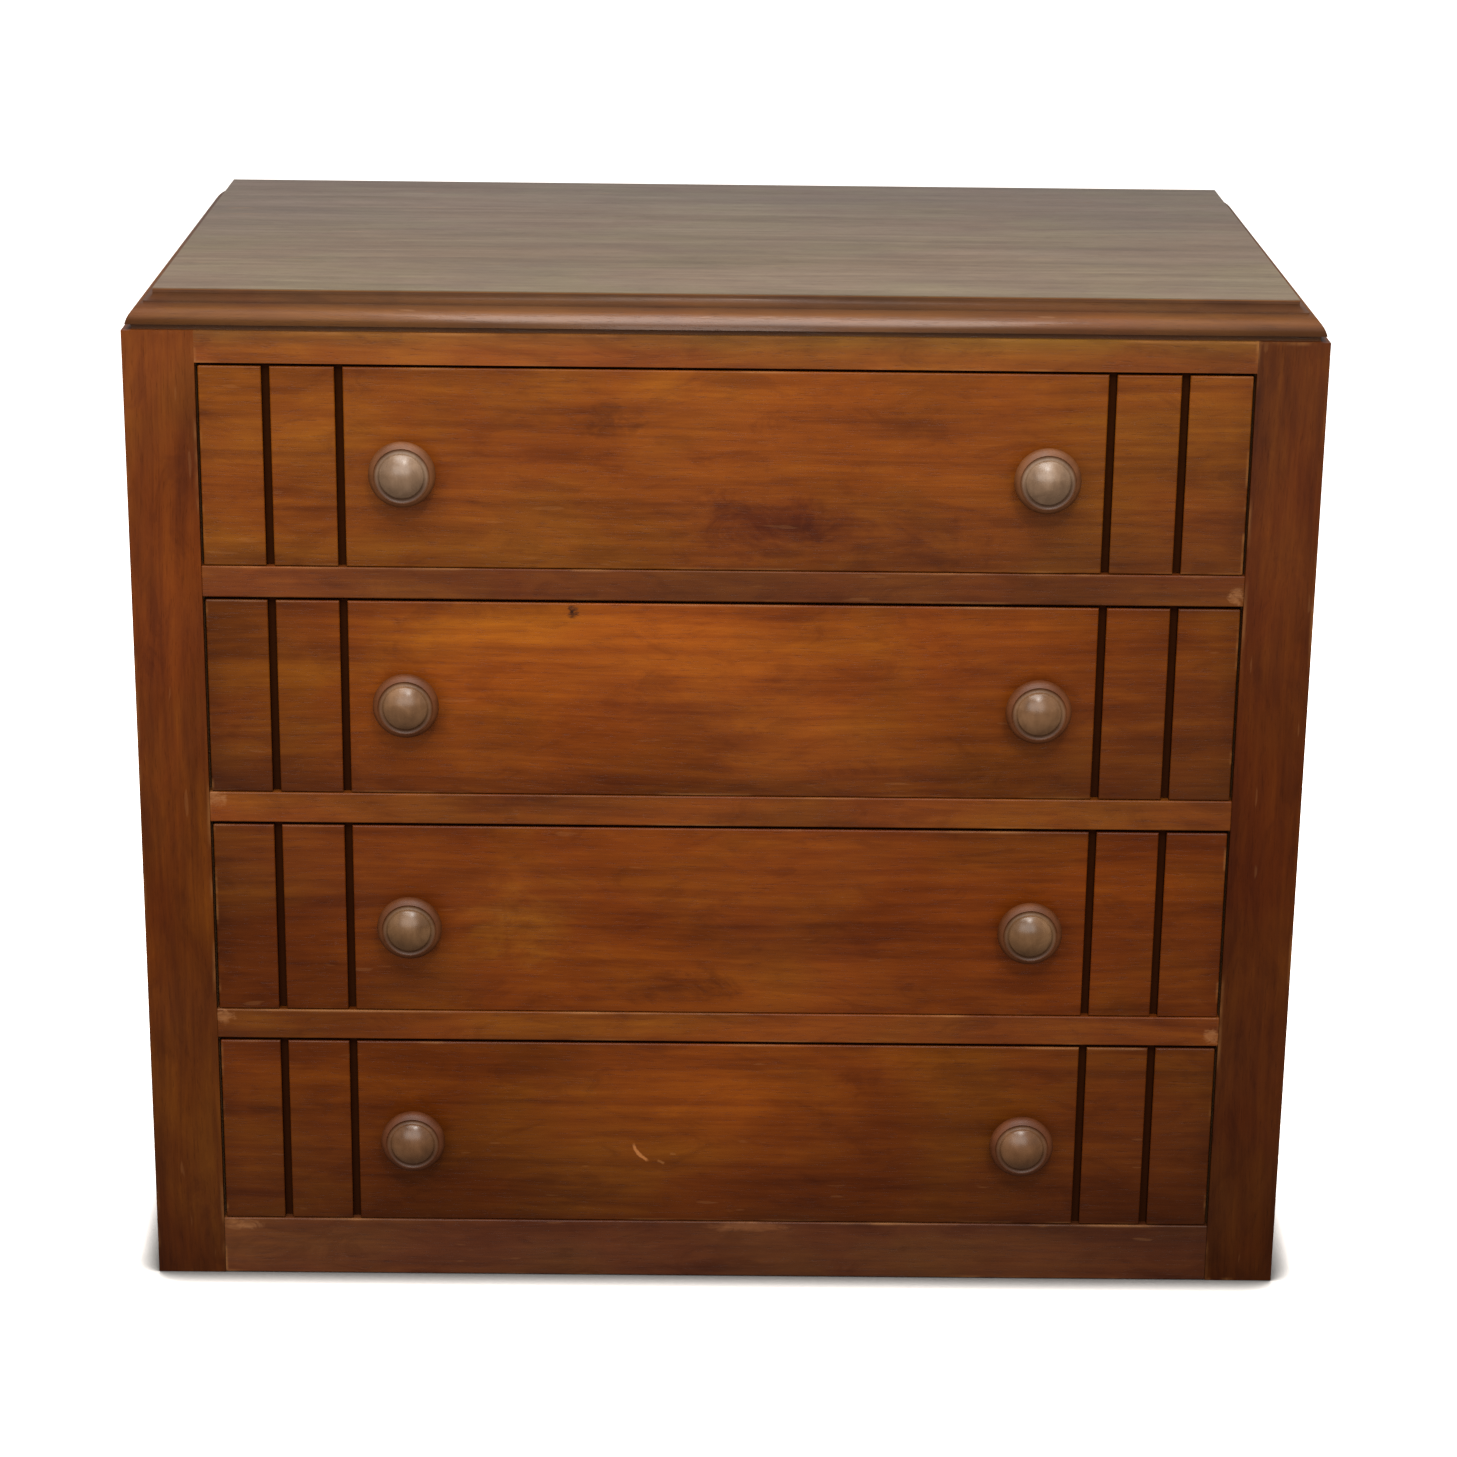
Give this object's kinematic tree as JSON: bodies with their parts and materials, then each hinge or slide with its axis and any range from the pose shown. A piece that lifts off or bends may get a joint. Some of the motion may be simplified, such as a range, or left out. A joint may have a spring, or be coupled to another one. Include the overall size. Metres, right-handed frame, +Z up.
{
  "type": "miniature chest of drawers",
  "caption": "Miniature varnished wood chest of drawers with a moulded top edge, grooved drawer fronts that slide open and turned round knobs.",
  "frame": {"origin": "on the floor, under the middle of the whole object with its knobs", "axes": "+X to the right of someone facing the drawers and along the width, -Y towards them, the way the drawers slide out, +Z up"},
  "size_m": [0.33, 0.1966, 0.2937],
  "materials": {
    "case_wood": "stained and varnished, satin gloss, worn",
    "top_wood": "stained and varnished, glossy",
    "rail_wood": "stained and varnished, worn arrises",
    "drawer_front_wood": "stained and varnished, satin gloss",
    "inner_wood": "bare",
    "thin_panel": "bare plywood",
    "knob": "glossy, moulded",
    "fixings": "plain"
  },
  "bodies": {
    "case": {"side_left": "case_wood", "side_right": "case_wood", "top_board": "top_wood", "bottom_panel": "thin_panel", "back_panel": "thin_panel", "top_front_rail": "rail_wood", "top_back_rail": "inner_wood", "divider_1": "rail_wood", "divider_2": "rail_wood", "divider_3": "rail_wood", "bottom_rail": "rail_wood", "runner_1_left": "inner_wood", "runner_1_right": "inner_wood", "runner_2_left": "inner_wood", "runner_2_right": "inner_wood", "runner_3_left": "inner_wood", "runner_3_right": "inner_wood", "kicker_left": "inner_wood", "kicker_right": "inner_wood", "drawer_stops": "inner_wood", "glue_blocks": "inner_wood", "top_screws": "fixings", "back_panel_pins": "fixings"},
    "drawer_1": {"drawer_1_front": "drawer_front_wood", "drawer_1_side_left": "inner_wood", "drawer_1_side_right": "inner_wood", "drawer_1_back": "inner_wood", "drawer_1_bottom": "thin_panel", "drawer_1_knob_left": "knob", "drawer_1_knob_right": "knob", "drawer_1_knob_screws": "fixings"},
    "drawer_2": {"drawer_2_front": "drawer_front_wood", "drawer_2_side_left": "inner_wood", "drawer_2_side_right": "inner_wood", "drawer_2_back": "inner_wood", "drawer_2_bottom": "thin_panel", "drawer_2_knob_left": "knob", "drawer_2_knob_right": "knob", "drawer_2_knob_screws": "fixings"},
    "drawer_3": {"drawer_3_front": "drawer_front_wood", "drawer_3_side_left": "inner_wood", "drawer_3_side_right": "inner_wood", "drawer_3_back": "inner_wood", "drawer_3_bottom": "thin_panel", "drawer_3_knob_left": "knob", "drawer_3_knob_right": "knob", "drawer_3_knob_screws": "fixings"},
    "drawer_4": {"drawer_4_front": "drawer_front_wood", "drawer_4_side_left": "inner_wood", "drawer_4_side_right": "inner_wood", "drawer_4_back": "inner_wood", "drawer_4_bottom": "thin_panel", "drawer_4_knob_left": "knob", "drawer_4_knob_right": "knob", "drawer_4_knob_screws": "fixings"}
  },
  "joints": [
    {"name": "drawer_1_slide", "type": "slide", "parent": "case", "child": "drawer_1", "axis": [0, -1, 0], "range_m": [0, 0.13]},
    {"name": "drawer_2_slide", "type": "slide", "parent": "case", "child": "drawer_2", "axis": [0, -1, 0], "range_m": [0, 0.13]},
    {"name": "drawer_3_slide", "type": "slide", "parent": "case", "child": "drawer_3", "axis": [0, -1, 0], "range_m": [0, 0.13]},
    {"name": "drawer_4_slide", "type": "slide", "parent": "case", "child": "drawer_4", "axis": [0, -1, 0], "range_m": [0, 0.13]}
  ]
}
